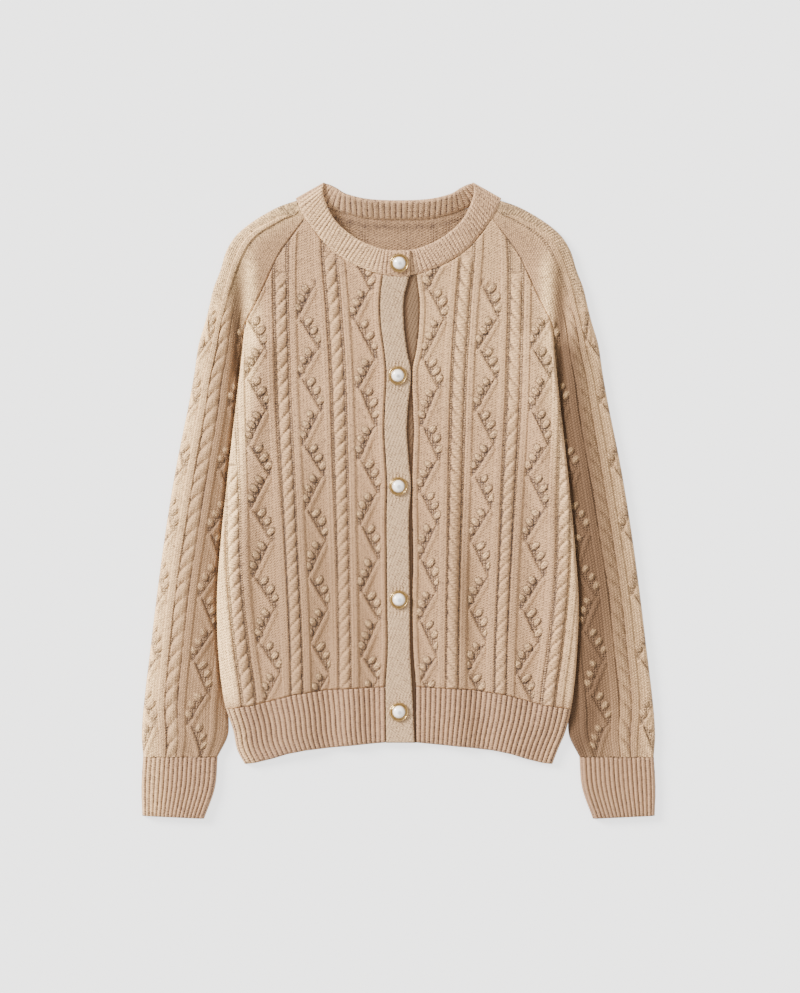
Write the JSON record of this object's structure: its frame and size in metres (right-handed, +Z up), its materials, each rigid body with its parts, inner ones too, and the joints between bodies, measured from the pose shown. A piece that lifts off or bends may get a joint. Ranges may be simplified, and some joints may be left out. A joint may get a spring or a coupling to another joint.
{
  "type": "button cardigan",
  "caption": "Slim knitted button cardigan laid flat with its front up, with rope cables, zigzag lines with bobbles, raglan sleeves, ribbed edges and pearl buttons",
  "frame": {"origin": "the middle of the garment's outline, on the surface that it lies on", "axes": "+X towards the wearer's left sleeve, +Y towards the neck, +Z up out of the front"},
  "size_m": [0.5664, 0.7, 0.0188],
  "materials": {
    "knit": "fine beige knit with raised ropes, zigzag lines and bobbles",
    "rib": "beige ribbed knit",
    "band": "firm beige knitted band",
    "rim": "polished gold colour",
    "pearl": "pearl lustre"
  },
  "bodies": {
    "root": {"back_panel": "knit", "front_right": "knit", "front_left": "knit", "sleeve_right": "knit", "sleeve_left": "knit", "hem_rib_back": "rib", "hem_rib_right": "rib", "hem_rib_left": "rib", "cuff_right": "rib", "cuff_left": "rib", "neckband": "rib", "button_band": "band", "buttonhole_band": "band", "button_rim_1": "rim", "button_rim_2": "rim", "button_rim_3": "rim", "button_rim_4": "rim", "button_rim_5": "rim", "button_pearl_1": "pearl", "button_pearl_2": "pearl", "button_pearl_3": "pearl", "button_pearl_4": "pearl", "button_pearl_5": "pearl"}
  },
  "joints": []
}
